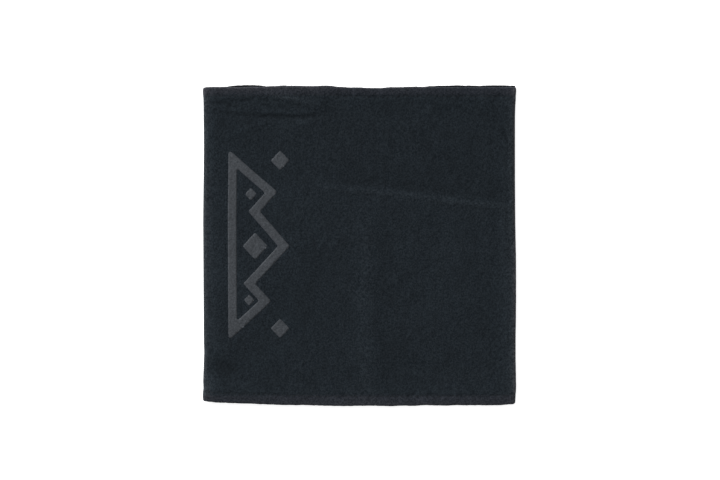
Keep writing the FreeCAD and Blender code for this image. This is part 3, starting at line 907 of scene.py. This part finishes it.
def inside_loops(points, loops):
    """Even-odd test of points against closed outlines."""
    x, y = points[:, 0], points[:, 1]
    hit = np.zeros(len(points), bool)
    for loop in loops:
        for (ax, ay), (bx, by) in zip(loop, np.roll(loop, -1, 0)):
            if ay == by:
                continue
            hit ^= ((ay > y) != (by > y)) & (x < (bx - ax) * (y - ay) / (by - ay) + ax)
    return hit


def edge_distance(points, loops):
    best = np.full(len(points), 1e9)
    for loop in loops:
        for start, end in zip(loop, np.roll(loop, -1, 0)):
            edge = end - start
            t = np.clip(((points - start) @ edge) / max(edge @ edge, 1e-12), 0, 1)
            best = np.minimum(best, np.linalg.norm(points - start - t[:, None] * edge, axis=1))
    return best


def triangulate(loops, seed):
    """Points and counterclockwise triangles that fill the outlines, on a jittered grid."""
    outline = np.concatenate(loops)
    low, high = outline.min(0), outline.max(0)
    grid_x, grid_y = np.meshgrid(np.arange(low[0], high[0], 1.05),
                                 np.arange(low[1], high[1], 1.05), indexing="ij")
    inner = np.stack([grid_x.ravel(), grid_y.ravel()], 1)
    inner += np.random.default_rng(seed).uniform(-0.18, 0.18, inner.shape)
    inner = inner[inside_loops(inner, loops)]
    inner = inner[edge_distance(inner, loops) > 0.55]
    verts = [Vector((float(x), float(y))) for x, y in np.concatenate([outline, inner])]
    edges, base = [], 0
    for loop in loops:
        count = len(loop)
        edges += [(base + i, base + (i + 1) % count) for i in range(count)]
        base += count
    flat_verts, _, flat_faces, *_ = geometry.delaunay_2d_cdt(verts, edges, [], 0, 1e-6)
    points = np.array([[v.x, v.y] for v in flat_verts])
    triangles = np.array([face for face in flat_faces if len(face) == 3])
    triangles = triangles[inside_loops(points[triangles].mean(1), loops)]
    a, b, c = (points[triangles[:, k]] for k in range(3))
    ab, ac = b - a, c - a
    clockwise = (ab[:, 0] * ac[:, 1] - ab[:, 1] * ac[:, 0]) < 0
    triangles[clockwise] = triangles[clockwise][:, ::-1]
    used = np.unique(triangles)
    renumber = -np.ones(len(points), int)
    renumber[used] = np.arange(len(used))
    return points[used], renumber[triangles]


def printed_patch(loops, seed):
    """A thin closed film over the pile inside the outlines: top sheet, under sheet and a rim."""
    points, triangles = triangulate(loops, seed)
    triangles = triangles.tolist()
    directed = dict.fromkeys((t[i], t[(i + 1) % 3]) for t in triangles for i in range(3))
    rim = [edge for edge in directed if edge[::-1] not in directed]
    film = 0.02 + 0.13 * smooth(edge_distance(points, loops) / 0.9)
    z = to_height(half_thickness(points[:, 0], points[:, 1], "front"), "front")
    x, y = place(points[:, 0], points[:, 1], "front")
    top, under = np.stack([x, y, z + film], 1), np.stack([x, y, z - 0.25], 1)
    count = len(points)
    faces = triangles + [[v + count for v in t[::-1]] for t in triangles]
    faces += [[start, start + count, end + count, end] for start, end in rim]
    return np.concatenate([top, under]), faces


def build_emblem():
    ridge = [emblem_point(*point) for point in RIDGE]
    if sum(p[0] * q[1] - q[0] * p[1] for p, q in zip(ridge, ridge[1:] + ridge[:1])) < 0:
        ridge.reverse()
    shapes = [[rounded(ridge, radius=2.4), rounded(inset(ridge, STROKE), radius=1.2)]]
    shapes += [[rounded(diamond(*entry), radius=1.6)] for entry in DIAMONDS]
    patches = [printed_patch(loops, seed=90 + i) for i, loops in enumerate(shapes)]
    emblem = make("emblem_print", *gather(patches), PRINT, "print")
    bend_across(emblem)
    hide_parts("emblem_outer", "emblem_inner")


build_emblem()


# ---------------------------------------------------------------- seam allowance and its overlock
ALLOWANCE_LOW, ALLOWANCE_HIGH = box_mm("seam_allowance")


def build_seam_allowance():
    """A flat strip of two pressed plies with rounded, slightly uneven edges, along Y."""
    low, high = ALLOWANCE_LOW, ALLOWANCE_HIGH
    ys = np.linspace(low.y, high.y, 246)
    angles = np.linspace(0, 2 * math.pi, 28, endpoint=False)
    power = 0.42                                  # squareness of the section
    grid = np.zeros((len(angles), len(ys), 3))
    for i, angle in enumerate(angles):
        side_x = np.sign(np.cos(angle)) * abs(np.cos(angle)) ** power
        side_z = np.sign(np.sin(angle)) * abs(np.sin(angle)) ** power
        wobble_x = 1 - 0.05 * (1 + noise(20.0 * i, ys, 5.0, 301))
        wobble_z = 1 - 0.09 * (1 + noise(11.0 * i, ys, 3.0, 302))
        grid[i, :, 0] = (low.x + high.x) / 2 + (high.x - low.x) / 2 * side_x * wobble_x
        grid[i, :, 1] = ys
        grid[i, :, 2] = (low.z + high.z) / 2 + (high.z - low.z) / 2 * side_z * wobble_z
    count = len(angles) * len(ys)
    index = np.arange(count).reshape(len(angles), len(ys))
    faces = loop_quads(index).tolist() + [index[:, 0].tolist(), index[:, -1][::-1].tolist()]
    allowance = make("seam_allowance_edge", grid.reshape(-1, 3), faces, FLEECE, "fleece",
                     tone=np.full(count, 1.05), tint=np.zeros(count))
    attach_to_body(allowance, "back_outer_right_panel")
    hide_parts("seam_allowance")


def build_overlock():
    """Thread loops round the allowance's raw edge, which faces -X, and a line beside them."""
    low, high = box_mm("seam_overlock")
    rng = np.random.default_rng(5)
    edge_x, mid_z = ALLOWANCE_LOW.x, (ALLOWANCE_LOW.z + ALLOWANCE_HIGH.z) / 2
    over, under = ALLOWANCE_HIGH.z + 0.02, ALLOWANCE_LOW.z - 0.02
    radius = 0.2
    parts = []
    y = low.y + 0.5
    while y < high.y - 2.6:
        x_in = high.x - 0.3 + rng.uniform(-0.25, 0.25)
        loop = [
            (x_in, y, over - 0.10), (x_in - 1.6, y + 0.25, over + 0.03),
            (edge_x + 1.4, y + 0.7, over + 0.03), (edge_x + 0.25, y + 0.95, over - 0.12),
            (edge_x - 0.06, y + 1.1, mid_z + 0.35), (edge_x - 0.08, y + 1.2, mid_z),
            (edge_x - 0.06, y + 1.3, mid_z - 0.35), (edge_x + 0.25, y + 1.5, under + 0.12),
            (edge_x + 1.4, y + 1.8, under - 0.03), (x_in - 1.6, y + 2.3, under - 0.03),
            (x_in, y + 2.55, under + 0.10),
        ]
        line = [(x_in - 0.05, y - 0.2, over - 0.05), (x_in + 0.02, y + 1.3, over + 0.06),
                (x_in - 0.05, y + 2.7, over - 0.05)]
        parts += [tube(loop, radius), tube(line, radius)]
        y += 3.2
    overlock = make("seam_overlock_thread", *gather(parts), OVERLOCK, "thread")
    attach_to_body(overlock, "back_outer_right_panel")
    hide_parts("seam_overlock")


build_seam_allowance()
build_overlock()


# ---------------------------------------------------------------- care label
def build_care_label():
    """A thin tab that starts at its +X end and waves more towards its -X end."""
    low, high = box_mm("care_label")
    cols, rows = 34, 44                           # stations along X and along Y
    xs = np.linspace(high.x, low.x, cols)
    ys = np.linspace(low.y, high.y, rows)
    grid = np.zeros((2 * cols, rows, 3))
    for i in range(2 * cols):
        # out along the upper face, back along the lower one
        j, side = (i, 1) if i < cols else (2 * cols - 1 - i, -1)
        t = j / (cols - 1)
        half_gap = 0.085 * (1 - t ** 6) + 0.012
        wave = 0.16 * smooth(t * 2) * noise(xs[j], ys, 11.0, 401)
        wave = wave + 0.55 * smooth(t * 1.6) * np.sin(2.4 * t + 0.16 * (ys - low.y))
        grid[i, :, 0] = xs[j] + 0.25 * t * np.sin(ys * 0.25)
        grid[i, :, 1] = ys
        grid[i, :, 2] = (low.z + high.z) / 2 + side * half_gap + wave
    index = np.arange(2 * cols * rows).reshape(2 * cols, rows)
    faces = loop_quads(index).tolist()
    for row, turn in ((0, False), (rows - 1, True)):
        rim = index[:, row].tolist()
        for i in range(cols - 1):
            quad = [rim[i], rim[i + 1], rim[-2 - i], rim[-1 - i]]
            faces.append(quad[::-1] if turn else quad)
    label = make("care_label_tab", grid.reshape(-1, 3), faces, LABEL, "label")
    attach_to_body(label, "label_tab")
    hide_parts("care_label")


build_care_label()


# ---------------------------------------------------------------- floor, light, camera (in metres)
def build_floor(half_size, z):
    mesh = bpy.data.meshes.new("floor")
    corners = [(-1, -1), (1, -1), (1, 1), (-1, 1)]
    mesh.from_pydata([(x * half_size, y * half_size, z) for x, y in corners], [], [(0, 1, 2, 3)])
    mesh.materials.append(floor_material())
    link("floor", mesh)


def build_world(light_strength, seen_strength):
    """The backdrop is white to look at, and gives a softer, weaker light."""
    world = bpy.data.worlds.new("studio")
    world.use_nodes = True
    nodes, links = world.node_tree.nodes, world.node_tree.links
    background = nodes["Background"]
    background.inputs["Color"].default_value = (1, 1, 1, 1)
    light_path = nodes.new("ShaderNodeLightPath")
    strength = nodes.new("ShaderNodeMapRange")
    strength.inputs["To Min"].default_value = light_strength
    strength.inputs["To Max"].default_value = seen_strength
    links.new(light_path.outputs["Is Camera Ray"], strength.inputs["Value"])
    links.new(strength.outputs["Result"], background.inputs["Strength"])
    bpy.context.scene.world = world


def area_light(name, location, size, power):
    """A square light aimed at the origin."""
    data = bpy.data.lights.new(name, "AREA")
    data.shape = "SQUARE"
    data.size = size
    data.energy = power
    light = link(name, data)
    light.location = location
    aim = Vector((0, 0, 0)) - Vector(location)
    light.rotation_euler = aim.to_track_quat("-Z", "Y").to_euler()


def build_camera(view_width, x, y, lens, sensor):
    """Looks straight down; view_width, x and y are in mm, at the height of the mid plane."""
    data = bpy.data.cameras.new("camera")
    data.lens = lens
    data.sensor_width = sensor
    data.clip_end = 20
    camera = link("camera", data)
    camera.location = (x * MM, y * MM, (view_width * lens / sensor + MID) * MM)
    bpy.context.scene.camera = camera


build_floor(half_size=6.0, z=-0.0001)
build_world(light_strength=0.38, seen_strength=1.0)
area_light("key", location=(-2.9, 2.3, 2.0), size=1.2, power=248)
area_light("fill", location=(1.5, -0.9, 1.7), size=1.6, power=7)
build_camera(view_width=599.616, x=0.91624, y=4.33056, lens=100.0, sensor=36.0)

bpy.context.scene.view_settings.view_transform = "Standard"
bpy.context.scene.view_settings.look = "None"
